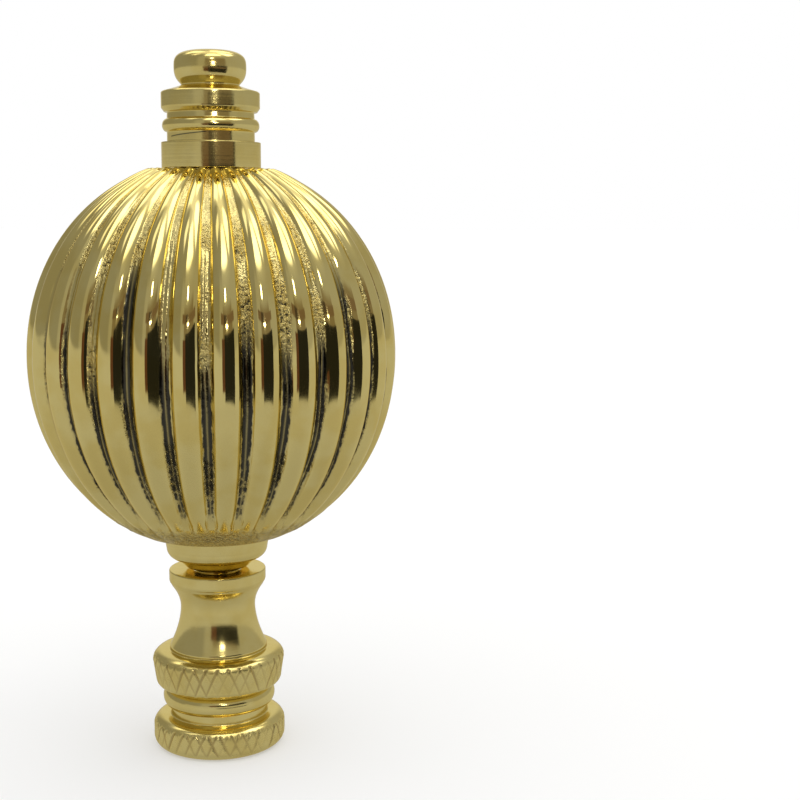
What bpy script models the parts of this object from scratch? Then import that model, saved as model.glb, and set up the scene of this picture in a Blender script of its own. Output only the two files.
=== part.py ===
"""Lamp shade finial: a ribbed ball between a turned top cap and a knurled base.

Metres, +Z up. The origin is on the axis, in the plane of the foot. Four pieces are stacked along the
axis. Each one locates in the next by a short register, which is turned on it.
"""

import math

import bmesh
import bpy

# Fits that every joint between two pieces uses.
FACE_GAP = 0.0003
REGISTER_CLEARANCE = 0.0003
REGISTER_HEIGHT = 0.0009

# Knurled base, from the foot up.
RING_RADIUS = 0.00635
RING_LOWER_EDGE = 0.00070
RING_SHOULDER_WIDTH = 0.00120
RING_SHOULDER_HEIGHT = 0.00095
FOOT_EDGE = 0.00100
LOWER_RING_HEIGHT = 0.00300
LOWER_GROOVE_RADIUS = 0.00470
LOWER_GROOVE_HEIGHT = 0.00090
BASE_BEAD_RADIUS = 0.00540
BASE_BEAD_HEIGHT = 0.00185
UPPER_GROOVE_RADIUS = 0.00488
UPPER_GROOVE_HEIGHT = 0.00022
UPPER_RING_HEIGHT = 0.00350
UPPER_RING_TAPER = 0.00028
STEP_RADIUS = 0.00468
STEP_HEIGHT = 0.00031
WAIST_RADIUS = 0.00358
FLARE_HEIGHT = 0.00388
FLARE_POWER = 1.80
DISH_RADIUS = 0.00440
DISH_HEIGHT = 0.00215
FLANGE_RADIUS = 0.00464
FLANGE_HEIGHT = 0.00153
FLANGE_EDGE = 0.00045
SOCKET_RADIUS = 0.00300
SOCKET_DEPTH = 0.00820

# Seat cup, from its foot up.
CUP_FOOT_RADIUS = 0.00300
CUP_CONE_HEIGHT = 0.00080
CUP_CONE_RADIUS = 0.00380
CUP_COVE_HEIGHT = 0.00110
CUP_LIP_RADIUS = 0.00484
CUP_RIM_RADIUS = 0.00502
CUP_RIM_HEIGHT = 0.00112
CUP_FOOT_REGISTER_RADIUS = 0.00200
CUP_TOP_REGISTER_RADIUS = 0.00340

# Ribbed ball. Its outline is a squared ellipse, cut flat above and rounded off below.
BALL_RADIUS = 0.01734
BALL_HALF_HEIGHT = 0.01843
BALL_SQUARENESS_ABOVE = 2.06
BALL_SQUARENESS_BELOW = 2.02
BALL_CUT_BELOW = 0.00144
BALL_CUT_ABOVE = 0.00100
BALL_SEAT_RADIUS = 0.00660
BALL_RIM_HEIGHT = 0.00100
BALL_ROWS = 12
RIB_COUNT = 30
CHANNEL_SHARE = 0.28
CHANNEL_DEPTH = 0.00016
RIB_SECTION_RADIUS = 0.00160
CHANNEL_FADE_START = 0.00310
CHANNEL_FADE_HEIGHT = 0.00250
FIRST_CHANNEL_DEGREES = -2.5
RIB_FLATTENING_POWER = 0.85

# Top cap, from its collar up.
COLLAR_RADIUS = 0.00460
COLLAR_HEIGHT = 0.00220
CAP_GROOVE_RADIUS = 0.00405
CAP_LOWER_GROOVE_HEIGHT = 0.00092
CAP_BEAD_RADIUS = 0.00449
CAP_BEAD_HEIGHT = 0.00120
CAP_UPPER_GROOVE_HEIGHT = 0.00060
DISC_RADIUS = 0.00456
DISC_HEIGHT = 0.00178
DISC_LOWER_EDGE = 0.00038
DISC_UPPER_EDGE = 0.00012
DISC_SLOPE_HEIGHT = 0.00042
NECK_SHOULDER_RADIUS = 0.00341
NECK_RADIUS = 0.00268
NECK_COVE_HEIGHT = 0.00035
BUN_RADIUS = 0.00334
BUN_HEIGHT_ABOVE = 0.00160
BUN_SQUARENESS_ABOVE = 3.3
BUN_HEIGHT_BELOW = 0.00220
BUN_SQUARENESS_BELOW = 2.4
CAP_REGISTER_RADIUS = 0.00300

TURNED_SIDES = 28
CUTTER_OVERRUN = 0.0005

BRASS = ("turned_brass", (0.72, 0.58, 0.25, 1.0), 0.18)
GILT_CASTING = ("gilt_casting", (0.66, 0.52, 0.22, 1.0), 0.26)


def clear_scene():
    for obj in list(bpy.data.objects):
        bpy.data.objects.remove(obj, do_unlink=True)


def metal(name, colour, roughness):
    """A plain metal with the given base colour."""
    material = bpy.data.materials.new(name)
    material.use_nodes = True
    shader = material.node_tree.nodes["Principled BSDF"]
    shader.inputs["Base Color"].default_value = colour
    shader.inputs["Roughness"].default_value = roughness
    shader.inputs["Metallic"].default_value = 1.0
    return material


def arc(centre_r, centre_z, radius_r, radius_z, start, end, steps):
    """Points of an elliptical arc in the (radius, height) plane, angles in degrees from +radius."""
    points = []
    for i in range(steps + 1):
        angle = math.radians(start + (end - start) * i / steps)
        points.append((centre_r + radius_r * math.cos(angle), centre_z + radius_z * math.sin(angle)))
    return points


def power_sweep(start, end, power, steps):
    """Points from start to end whose radius grows as a power of the height covered, without start."""
    points = []
    for i in range(1, steps + 1):
        share = i / steps
        radius = start[0] + (end[0] - start[0]) * share**power
        points.append((radius, start[1] + (end[1] - start[1]) * share))
    return points


def rings_to_object(name, rings, material):
    """A closed body from rings of points, listed from the lowest to the highest along its skin."""
    mesh = bmesh.new()
    rows = [[mesh.verts.new(point) for point in ring] for ring in rings]
    around = len(rings[0])
    mesh.faces.new(list(reversed(rows[0])))
    mesh.faces.new(rows[-1])
    for below, above in zip(rows, rows[1:]):
        for i in range(around):
            j = (i + 1) % around
            mesh.faces.new((below[i], below[j], above[j], above[i]))
    bmesh.ops.triangulate(mesh, faces=[face for face in mesh.faces if len(face.verts) == 4])
    bmesh.ops.recalc_face_normals(mesh, faces=mesh.faces)
    data = bpy.data.meshes.new(name)
    mesh.to_mesh(data)
    mesh.free()
    data.shade_smooth()
    data.set_sharp_from_angle(angle=math.radians(35))
    data.materials.append(material)
    obj = bpy.data.objects.new(name, data)
    bpy.context.scene.collection.objects.link(obj)
    return obj


def turned(name, profile, material, sides=TURNED_SIDES):
    """A body of revolution from (radius, height) points that run up its skin."""
    rings = []
    for radius, height in profile:
        ring = []
        for i in range(sides):
            angle = 2 * math.pi * i / sides
            ring.append((radius * math.cos(angle), radius * math.sin(angle), height))
        rings.append(ring)
    return rings_to_object(name, rings, material)


def cut_round_hole(obj, name, radius, low, high, material):
    """Cuts a round hole on the axis, from height low to height high."""
    cutter = turned(name, [(radius, low), (radius, high)], material)
    cutter.hide_render = True
    cutter.display_type = "WIRE"
    cutter.parent = obj
    cut = obj.modifiers.new(name, "BOOLEAN")
    cut.operation = "DIFFERENCE"
    cut.solver = "EXACT"
    cut.object = cutter


def base_ring(low, height, taper, edge):
    """One knurled ring, its lower edge rounded by edge. It is narrower by taper at that edge."""
    low_edge = arc(RING_RADIUS - taper - edge, low + edge, edge, edge, -90, 0, 3)
    shoulder_middle = low + height - RING_SHOULDER_HEIGHT
    shoulder_radius = RING_RADIUS - RING_SHOULDER_WIDTH
    shoulder = arc(
        shoulder_radius, shoulder_middle, RING_SHOULDER_WIDTH, RING_SHOULDER_HEIGHT, 0, 90, 3
    )
    return low_edge + shoulder


def base_heights():
    """The heights at which the base's features begin, from the foot up."""
    steps = (
        ("lower_ring", LOWER_RING_HEIGHT),
        ("lower_groove", LOWER_GROOVE_HEIGHT),
        ("bead", BASE_BEAD_HEIGHT),
        ("upper_groove", UPPER_GROOVE_HEIGHT),
        ("upper_ring", UPPER_RING_HEIGHT),
        ("step", STEP_HEIGHT),
        ("flare", FLARE_HEIGHT),
        ("dish", DISH_HEIGHT),
        ("flange", FLANGE_HEIGHT),
    )
    heights, height = {}, 0.0
    for feature, tall in steps:
        heights[feature] = height
        height += tall
    heights["top"] = height
    return heights


def base_profile(at):
    """The base's outer skin, from the foot to the flange's top."""
    bead_middle = at["bead"] + BASE_BEAD_HEIGHT / 2
    bead_bulge = BASE_BEAD_RADIUS - LOWER_GROOVE_RADIUS
    waist = (WAIST_RADIUS, at["dish"])
    flare_foot = (STEP_RADIUS, at["flare"])
    points = base_ring(at["lower_ring"], LOWER_RING_HEIGHT, 0.0, FOOT_EDGE)
    points.append((LOWER_GROOVE_RADIUS, at["lower_groove"]))
    points += arc(LOWER_GROOVE_RADIUS, bead_middle, bead_bulge, BASE_BEAD_HEIGHT / 2, -90, 70, 4)
    points.append((UPPER_GROOVE_RADIUS, at["upper_groove"]))
    points.append((UPPER_GROOVE_RADIUS, at["upper_ring"]))
    points += base_ring(at["upper_ring"], UPPER_RING_HEIGHT, UPPER_RING_TAPER, RING_LOWER_EDGE)
    points.append((STEP_RADIUS, at["step"]))
    points += list(reversed(power_sweep(waist, flare_foot, FLARE_POWER, 4)))
    points.append(waist)
    points += power_sweep(waist, (DISH_RADIUS, at["flange"]), 2.0, 3)
    points += flange_edges(at["flange"], at["top"])
    return points


def flange_edges(low, high):
    """The rounded outer edge of the base's flange."""
    lower = arc(DISH_RADIUS, low + FLANGE_EDGE, FLANGE_RADIUS - DISH_RADIUS, FLANGE_EDGE, -50, 0, 2)
    bevel = FLANGE_EDGE / 3
    return lower + [(FLANGE_RADIUS, high - bevel), (FLANGE_RADIUS - bevel, high)]


def knurled_base(material):
    at = base_heights()
    base = turned("knurled_base", base_profile(at), material)
    cut_round_hole(base, "socket_cutter", SOCKET_RADIUS, -CUTTER_OVERRUN, SOCKET_DEPTH, material)
    recess_radius = CUP_FOOT_REGISTER_RADIUS + REGISTER_CLEARANCE
    recess_floor = at["top"] - REGISTER_HEIGHT
    cut_round_hole(
        base, "cup_recess_cutter", recess_radius, recess_floor, at["top"] + CUTTER_OVERRUN, material
    )
    return at["top"]


def seat_cup(foot, material):
    """The cup whose foot is at the given height. Returns the height of its rim."""
    cone_top = foot + CUP_CONE_HEIGHT
    lip = cone_top + CUP_COVE_HEIGHT
    rim = lip + CUP_RIM_HEIGHT
    register_low = foot - REGISTER_HEIGHT
    points = [(CUP_FOOT_REGISTER_RADIUS, register_low), (CUP_FOOT_REGISTER_RADIUS, foot)]
    points.append((CUP_FOOT_RADIUS, foot))
    points += arc(
        CUP_CONE_RADIUS, lip, CUP_LIP_RADIUS - CUP_CONE_RADIUS, CUP_COVE_HEIGHT, -90, 0, 4
    )
    points.append((CUP_RIM_RADIUS, rim))
    points.append((CUP_TOP_REGISTER_RADIUS, rim))
    points.append((CUP_TOP_REGISTER_RADIUS, rim + REGISTER_HEIGHT))
    turned("seat_cup", points, material)
    return rim


def squared_radius(radius, height, squareness, offset):
    """The radius of a squared ellipse of revolution at a height offset from its middle."""
    share = min(1.0, abs(offset) / height)
    return radius * (1.0 - share**squareness) ** (1.0 / squareness)


def ball_outline_radius(offset):
    """The rib crests' radius at a height offset from the ball's centre."""
    squareness = BALL_SQUARENESS_ABOVE if offset > 0 else BALL_SQUARENESS_BELOW
    return squared_radius(BALL_RADIUS, BALL_HALF_HEIGHT, squareness, offset)


def rib_drop(share):
    """How far the half-round rib lies below its crest, at a share of the pitch from the channel."""
    away = (0.5 - abs(share)) * 2 * math.pi * BALL_RADIUS / RIB_COUNT
    return RIB_SECTION_RADIUS - math.sqrt(RIB_SECTION_RADIUS**2 - away**2)


def rib_section():
    """One rib's pitch as (share of the pitch from the channel's middle, depth below the crest)."""
    edge = CHANNEL_SHARE / 2
    shoulder = (2 * edge + 0.5) / 3
    floor = (0.0, rib_drop(edge) + CHANNEL_DEPTH)
    left = [(-share, rib_drop(share)) for share in (shoulder, edge)]
    right = [(share, rib_drop(share)) for share in (edge, shoulder, 0.5)]
    return left + [floor] + right


def smooth_step(low, high, value):
    share = min(1.0, max(0.0, (value - low) / (high - low)))
    return share * share * (3 - 2 * share)


def ribbed_ring(radius, height, relief):
    """One ring of the ball's skin. Relief scales the ribs' depth, 0 for a plain circle."""
    points = []
    for rib in range(RIB_COUNT):
        for share, depth in rib_section():
            degrees = FIRST_CHANNEL_DEGREES - 90 + 360 * (rib + share) / RIB_COUNT
            reach = radius - depth * relief
            angle = math.radians(degrees)
            points.append((reach * math.cos(angle), reach * math.sin(angle), height))
    return points


def ball_rings(seat, top, centre):
    """The ball's rings, from its seat up."""
    fade_low = seat + CHANNEL_FADE_START
    fade_high = fade_low + CHANNEL_FADE_HEIGHT
    low_angle = math.asin((seat + BALL_RIM_HEIGHT - centre) / BALL_HALF_HEIGHT)
    high_angle = math.asin((top - centre) / BALL_HALF_HEIGHT)
    rim = seat + BALL_RIM_HEIGHT
    rim_width = ball_outline_radius(rim - centre) - BALL_SEAT_RADIUS
    rounding = arc(BALL_SEAT_RADIUS, rim, rim_width, BALL_RIM_HEIGHT, -90, -42, 1)
    rings = [ribbed_ring(radius, height, 0.0) for radius, height in rounding]
    for i in range(BALL_ROWS + 1):
        angle = low_angle + (high_angle - low_angle) * i / BALL_ROWS
        height = centre + BALL_HALF_HEIGHT * math.sin(angle)
        radius = ball_outline_radius(height - centre)
        relief = smooth_step(fade_low, fade_high, height) * (radius / BALL_RADIUS) ** RIB_FLATTENING_POWER
        rings.append(ribbed_ring(radius, height, relief))
    return rings


def ribbed_ball(seat, material):
    """The ball whose seat is at the given height. Returns the height of its flat top."""
    centre = seat + BALL_HALF_HEIGHT - BALL_CUT_BELOW
    top = centre + BALL_HALF_HEIGHT - BALL_CUT_ABOVE
    ball = rings_to_object("ribbed_ball", ball_rings(seat, top, centre), material)
    recess_depth = REGISTER_HEIGHT + REGISTER_CLEARANCE
    cut_round_hole(
        ball,
        "seat_recess_cutter",
        CUP_TOP_REGISTER_RADIUS + REGISTER_CLEARANCE,
        seat - CUTTER_OVERRUN,
        seat + recess_depth,
        material,
    )
    cut_round_hole(
        ball,
        "cap_recess_cutter",
        CAP_REGISTER_RADIUS + REGISTER_CLEARANCE,
        top - recess_depth,
        top + CUTTER_OVERRUN,
        material,
    )
    return top


def bun_profile(foot):
    """The bun knob's skin, from where it meets the neck to a small flat on top."""
    foot_share = (1.0 - (NECK_RADIUS / BUN_RADIUS) ** BUN_SQUARENESS_BELOW) ** (1.0 / BUN_SQUARENESS_BELOW)
    drop = BUN_HEIGHT_BELOW * foot_share
    middle = foot + drop
    points = []
    for i in range(4):
        offset = -drop * (1 - i / 3)
        radius = squared_radius(BUN_RADIUS, BUN_HEIGHT_BELOW, BUN_SQUARENESS_BELOW, offset)
        points.append((radius, middle + offset))
    for degrees in (30, 48, 66, 80):
        offset = BUN_HEIGHT_ABOVE * math.sin(math.radians(degrees))
        radius = squared_radius(BUN_RADIUS, BUN_HEIGHT_ABOVE, BUN_SQUARENESS_ABOVE, offset)
        points.append((radius, middle + offset))
    points.append((points[-1][0] / 2, middle + BUN_HEIGHT_ABOVE))
    return points


def top_cap(low, material):
    """The turned cap whose collar starts at the given height."""
    collar_top = low + COLLAR_HEIGHT
    bead_low = collar_top + CAP_LOWER_GROOVE_HEIGHT
    bead_middle = bead_low + CAP_BEAD_HEIGHT / 2
    disc_low = bead_low + CAP_BEAD_HEIGHT + CAP_UPPER_GROOVE_HEIGHT
    disc_high = disc_low + DISC_HEIGHT
    neck_low = disc_high + DISC_SLOPE_HEIGHT
    bead_bulge = CAP_BEAD_RADIUS - CAP_GROOVE_RADIUS
    points = [(CAP_REGISTER_RADIUS, low - REGISTER_HEIGHT), (CAP_REGISTER_RADIUS, low)]
    points += [(COLLAR_RADIUS, low), (COLLAR_RADIUS, collar_top)]
    points.append((CAP_GROOVE_RADIUS, collar_top))
    points += arc(CAP_GROOVE_RADIUS, bead_middle, bead_bulge, CAP_BEAD_HEIGHT / 2, -90, 90, 4)
    points.append((CAP_GROOVE_RADIUS, disc_low))
    points.append((DISC_RADIUS - DISC_LOWER_EDGE, disc_low))
    points.append((DISC_RADIUS, disc_low + DISC_LOWER_EDGE))
    points.append((DISC_RADIUS, disc_high))
    points.append((DISC_RADIUS - DISC_UPPER_EDGE, disc_high + DISC_UPPER_EDGE))
    points.append((NECK_SHOULDER_RADIUS, neck_low))
    points += bun_profile(neck_low + NECK_COVE_HEIGHT)
    turned("top_cap", points, material)


def main():
    clear_scene()
    brass = metal(*BRASS)
    gilt = metal(*GILT_CASTING)
    flange_top = knurled_base(brass)
    cup_rim = seat_cup(flange_top + FACE_GAP, brass)
    ball_top = ribbed_ball(cup_rim + FACE_GAP, gilt)
    top_cap(ball_top + FACE_GAP, brass)


main()
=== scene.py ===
"""Looks of the lamp shade finial: fine meshes, brass finishes, a soft studio and the camera."""

import math

import bpy
import numpy as np
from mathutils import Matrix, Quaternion, Vector


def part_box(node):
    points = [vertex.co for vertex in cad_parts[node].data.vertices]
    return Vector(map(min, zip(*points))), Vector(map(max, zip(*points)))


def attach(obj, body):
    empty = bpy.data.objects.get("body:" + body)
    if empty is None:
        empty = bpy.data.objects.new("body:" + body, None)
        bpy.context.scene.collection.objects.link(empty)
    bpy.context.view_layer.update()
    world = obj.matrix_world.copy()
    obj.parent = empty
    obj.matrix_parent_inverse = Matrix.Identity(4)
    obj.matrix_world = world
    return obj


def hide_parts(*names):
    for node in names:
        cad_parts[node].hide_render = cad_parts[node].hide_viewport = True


MM = 0.001

# The camera, worked out from the photograph: sizes in metres, places in its 800 pixel frame
PHOTO_SIDE = 800
FOCAL_PX = 1400.0
AXIS_X_PX = 214.2
CAMERA_ROLL_DEGREES = -0.18
HORIZON_Y_PX = 206.9
CAMERA_DISTANCE = 0.1335
CAMERA_HEIGHT = 0.0520
SENSOR_MM = 36.0
CLIP_START = 0.005

# How fine the meshes are
RIB_COUNT = 30
BALL_ROWS = 132
TURNED_SIDES = 192
BASE_SIDES = 144
KNURL_RATIO = 5

# Ribbed ball, in millimetres like every size down to the finishes
BALL_SQUARENESS_ABOVE = 2.06
BALL_SQUARENESS_BELOW = 2.02
BALL_HALF_HEIGHT = 18.43
BALL_CUT_BELOW = 1.44
RIB_SECTION_RADIUS = 1.60
RIB_FLATTENING_POWER = 0.85
FIRST_CHANNEL_DEGREES = -2.5
CHANNEL_DEPTH = 0.14
CHANNEL_RIDGE = 0.05
CAST_GRAIN = 0.022
RIM_GRAIN_GAIN = 1.6

# Shares of the pitch from one rib to the next, measured from a channel's middle
CHANNEL_SHARE = 0.28
CHANNEL_WALL_OUTSIDE = 0.010
CHANNEL_WALL_INSIDE = 0.068
CHANNEL_RIDGE_SHARE = 0.022
RIDGE_MASK_SHARE = 0.020
CHANNEL_CORE_SHARE = 0.080

# Slow wobbles of the channels: waves in radians for each millimetre of height, and their size
EDGE_WAVES = (0.35, 0.9, 2.3)
EDGE_WANDER = 0.006
DEPTH_WAVES = (0.2, 0.7)
DEPTH_WANDER = 0.10

# Heights above the ball's seat, from where a form begins to where it is full
SKIN_FOOT = 0.75
RIBS_FADE_IN = (0.6, 3.2)
CHANNEL_FOOT = 2.0
CHANNEL_FOOT_SPREAD = (-0.5, 0.7)
CHANNEL_FADE_IN = 1.5
ROUGH_RIM = (2.6, 1.2)
SEAT_RADIUS = 6.6
LIP_RADIUS = 7.05
LIP_HEIGHT = 0.16

# Depths below the ball's top, where the channels grow shallow and the skin meets the cap
SHALLOW_FROM = 12.0
SHALLOW_TO = 4.0
SHALLOW_LOSS = 0.75
CAP_LIFT_FROM = 1.2
CAP_LIFT = 0.10
CROWN_RADIUS = 4.2
CROWN_DEPTH = 0.05

# Top cap: heights above the collar's foot, up to the disc
REGISTER_LENGTH = 0.90
CAP_REGISTER_RADIUS = 3.00
COLLAR_LAP = 0.16
COLLAR_RADIUS = 4.60
COLLAR_TOP = 2.20
CAP_GROOVE_RADIUS = 4.05
CAP_BEAD_FOOT = 3.12
CAP_BEAD_MIDDLE = 3.72
CAP_BEAD_HEAD = 4.33
CAP_BEAD_WIDTH = 0.44
CAP_BEAD_HALF_HEIGHT = 0.60
DISC_FOOT = 4.92

# Top cap: heights above the disc's foot
DISC_RADIUS = 4.56
DISC_FOOT_RADIUS = 4.28
DISC_FOOT_BEVEL = 0.40
DISC_SIDE_TOP = 1.78
DISC_TOP = 1.90
DISC_TOP_RADIUS = 4.44
NECK_SHOULDER = (3.41, 2.20)
NECK_FOOT = (2.74, 2.42)
NECK_RADIUS = 2.68
NECK_TOP = 2.53
BUN_FOOT = 2.55

# The bun knob
BUN_RADIUS = 3.34
BUN_FOOT_RADIUS = 2.70
BUN_ABOVE = 1.60
BUN_BELOW = 2.20
BUN_SQUARENESS_ABOVE = 3.3
BUN_SQUARENESS_BELOW = 2.4
BUN_POLE_RADIUS = 0.02

# Seat cup: heights above the foot's face
CUP_LOWER_REGISTER_RADIUS = 2.00
CUP_UPPER_REGISTER_RADIUS = 3.40
CUP_FOOT_RADIUS = 3.00
CUP_CONE_TOP = (3.76, 0.80)
CUP_COVE_CENTRE = (3.80, 1.90)
CUP_COVE_RADII = (1.04, 1.08)
CUP_SIDE_FOOT = (4.87, 2.0)
CUP_RIM_RADIUS = 5.02

# Knurled base: heights above its foot
SOCKET_DEPTH = 8.2
SOCKET_CONE_RADIUS = 0.3
SOCKET_END_RADIUS = 2.7
THREAD_PITCH = 25.4 / 27
THREAD_MINOR_RADIUS = 2.78
THREAD_MAJOR_RADIUS = 3.14
THREAD_FLANK = 2.6
THREAD_ROOT = 0.25
THREAD_LEAD = 0.7
THREAD_STEP = 0.105
FOOT_INNER_RADIUS = 3.22
FOOT_OUTER_RADIUS = 5.0
RING_RADIUS = 6.35
RING_SHOULDER = (1.20, 0.95)
LOWER_RING_HEIGHT = 3.00
LOWER_RING_EDGE = 1.00
UPPER_RING_FOOT = 5.97
UPPER_RING_HEIGHT = 3.50
UPPER_RING_TAPER = 0.28
UPPER_RING_EDGE = 0.70
GROOVE_RADIUS = 4.70
GROOVE_TOP = 3.90
BEAD_MIDDLE = 4.83
BEAD_WIDTH = 0.70
BEAD_HALF_HEIGHT = 0.92
BEAD_HEAD = (4.90, 5.72)
UPPER_GROOVE_RADIUS = 4.88
FLARE_RADIUS = 4.68
FLARE_FOOT = 9.47
FLARE_STEP_TOP = 9.72
FLARE_HEIGHT = 3.88
FLARE_POWER = 1.8
WAIST_RADIUS = 3.58
WAIST_HEIGHT = 13.66
FLANGE_UNDERSIDE_RADIUS = 4.38
FLANGE_UNDERSIDE_RISE = 2.13
FLANGE_RADIUS = 4.64
FLANGE_EDGE_CENTRE = (4.08, 16.42)
FLANGE_EDGE_RADII = (0.56, 0.60)
FLANGE_TOP = 17.34
DISH_RADIUS = 4.1
WELL_RADIUS = 2.30
WELL_FLOOR = 16.44

# Knurling: two sets of slanting cuts, some pressed deeper than others
KNURL_COUNT = 36
KNURL_SLANT = 24
KNURL_WIDTH = 0.46
KNURL_DEPTH = 0.16
KNURL_PRESS = (0.30, 1.0)
KNURL_PHASES = (0.0, 0.37)
KNURL_FOOT_SHARE = 0.40
KNURL_EDGE_FADE = (0.24, 0.04)

SEED = 7


def smooth_step(low, high, value):
    share = np.clip((value - low) / (high - low), 0.0, 1.0)
    return share * share * (3 - 2 * share)


# Meshes made from rings of points

def ring_faces(rows_of_indices):
    """Faces between neighbouring rings. A ring may have a whole multiple of the other's points."""
    quads, triangles = [], []
    for below, above in zip(rows_of_indices, rows_of_indices[1:]):
        if len(below) == len(above):
            quads.append(np.stack([below, np.roll(below, -1), np.roll(above, -1), above], axis=1))
            continue
        fine, coarse = (below, above) if len(below) > len(above) else (above, below)
        triangles.append(fan_faces(fine, coarse, flip=fine is above))
    return quads, triangles


def fan_faces(fine, coarse, flip):
    """Triangles that join a fine ring to a coarser one, one fan for each coarse edge."""
    ratio = len(fine) // len(coarse)
    faces = []
    for i in range(len(coarse)):
        here, following = coarse[i], coarse[(i + 1) % len(coarse)]
        for j in range(ratio):
            a = fine[i * ratio + j]
            b = fine[(i * ratio + j + 1) % len(fine)]
            faces.append((a, b, here))
        last = fine[(i * ratio + ratio) % len(fine)]
        faces.append((last, following, here))
    faces = np.array(faces)
    return faces[:, ::-1] if flip else faces


def mesh_from_rings(name, rings, attributes=None):
    """A closed mesh from rings of (x, y, z) in millimetres, listed up the skin. Each end is a fan."""
    counts = [len(ring) for ring in rings]
    starts = np.concatenate([[0], np.cumsum(counts)])
    points = np.concatenate(rings)
    index_rows = [np.arange(starts[i], starts[i + 1]) for i in range(len(rings))]
    quads, triangles = ring_faces(index_rows)
    low_pole, high_pole = len(points), len(points) + 1
    poles = np.array([rings[0].mean(axis=0), rings[-1].mean(axis=0)])
    points = np.concatenate([points, poles])
    first, last = index_rows[0], index_rows[-1]
    triangles.append(np.stack([np.roll(first, -1), first, np.full(len(first), low_pole)], axis=1))
    triangles.append(np.stack([last, np.roll(last, -1), np.full(len(last), high_pole)], axis=1))
    faces = [face for block in quads for face in block.tolist()]
    faces += [face for block in triangles for face in block.tolist()]
    mesh = bpy.data.meshes.new(name)
    mesh.from_pydata((points * MM).tolist(), [], faces)
    for label, values in (attributes or {}).items():
        layer = mesh.attributes.new(label, "FLOAT", "POINT")
        rows = list(values)
        padded = np.concatenate(rows + [rows[0][:1], rows[-1][:1]])
        layer.data.foreach_set("value", padded.astype(np.float32))
    mesh.shade_smooth()
    mesh.validate()
    obj = bpy.data.objects.new(name, mesh)
    bpy.context.scene.collection.objects.link(obj)
    return obj


def circle(radius, height, sides):
    """A ring of points. Radius and height may be numbers or one value for each point."""
    angles = 2 * np.pi * np.arange(sides) / sides
    heights = np.broadcast_to(height, (sides,))
    return np.stack([radius * np.cos(angles), radius * np.sin(angles), heights], axis=1)


# Profiles in the (radius, height) plane, in millimetres

def arc(centre_r, centre_z, radius_r, radius_z, start, end, steps):
    """Points of an elliptical arc, angles in degrees from +radius."""
    angles = np.radians(np.linspace(start, end, steps + 1))
    return [(centre_r + radius_r * math.cos(a), centre_z + radius_z * math.sin(a)) for a in angles]


def rounded(corners):
    """The path through (radius, height, fillet) corners, with each fillet turned as an arc."""
    path = [corners[0][:2]]
    for before, corner, after in zip(corners, corners[1:], corners[2:]):
        here = np.array(corner[:2])
        back = np.array(before[:2]) - here
        ahead = np.array(after[:2]) - here
        back_length, ahead_length = np.linalg.norm(back), np.linalg.norm(ahead)
        back, ahead = back / back_length, ahead / ahead_length
        turn = math.acos(max(-1.0, min(1.0, float(back @ ahead))))
        fillet = corner[2]
        reach = fillet / math.tan(turn / 2) if fillet > 0 and turn < math.pi - 1e-3 else 0.0
        reach = min(reach, 0.49 * back_length, 0.49 * ahead_length)
        if reach <= 0:
            path.append(tuple(here))
            continue
        path += blend_corner(here, back * reach, ahead * reach)
    path.append(corners[-1][:2])
    return path


def blend_corner(here, back, ahead, steps=6):
    """A rounded corner: a curve from here + back to here + ahead that bends towards here."""
    points = []
    for i in range(steps + 1):
        t = i / steps
        weight = (1 - t) ** 2, 2 * t * (1 - t) * 0.86, t**2
        total = sum(weight)
        point = here + (back * weight[0] + ahead * weight[2]) / total
        points.append(tuple(point))
    return points


def subdivided(path, step):
    """The path with no stretch longer than step."""
    points = [path[0]]
    for start, end in zip(path, path[1:]):
        length = math.dist(start, end)
        count = max(1, math.ceil(length / step))
        for i in range(1, count + 1):
            t = i / count
            points.append((start[0] + (end[0] - start[0]) * t, start[1] + (end[1] - start[1]) * t))
    return [p for i, p in enumerate(points) if i == 0 or math.dist(p, points[i - 1]) > 1e-5]


def turned_mesh(name, path, step=0.12, sides=TURNED_SIDES):
    rings = [circle(radius, height, sides) for radius, height in subdivided(path, step)]
    return mesh_from_rings(name, rings)


# Ribbed ball

def wander(rng, count, along, waves, size):
    """A slow seeded wobble along a length, one row for each of count channels."""
    total = np.zeros((count, len(along)))
    for wave in waves:
        phase = rng.uniform(0, 2 * np.pi, (count, 1))
        gain = rng.normal(0, size / len(waves) ** 0.5, (count, 1))
        total += gain * np.sin(along[None, :] * wave + phase)
    return total


def rib_depth(share, crest, sunk):
    """Depth below the crest circle, in millimetres, at a share of the pitch from the channel.

    sunk is the share of the channel's own depth left at each height.
    """
    edge = CHANNEL_SHARE / 2
    away = (0.5 - np.maximum(np.abs(share), edge)) * 2 * np.pi * crest / RIB_COUNT
    crown = RIB_SECTION_RADIUS - np.sqrt(RIB_SECTION_RADIUS**2 - away**2)
    wall = smooth_step(edge + CHANNEL_WALL_OUTSIDE, edge - CHANNEL_WALL_INSIDE, np.abs(share))
    ridge = CHANNEL_RIDGE * np.exp(-((share / CHANNEL_RIDGE_SHARE) ** 2))
    return crown + wall * (CHANNEL_DEPTH - ridge) * sunk


def pitch_samples():
    """Shares of one pitch from the channel's middle, closer together at the channel's edges."""
    edge = CHANNEL_SHARE / 2
    half = [CHANNEL_RIDGE_SHARE, 0.050, CHANNEL_CORE_SHARE]
    half += [edge - 0.040, edge - 0.020, edge, edge + 0.022, 0.200, 0.255, 0.330, 0.410]
    return np.array([0.0] + half + [0.5] + [-share for share in reversed(half)])


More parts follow.
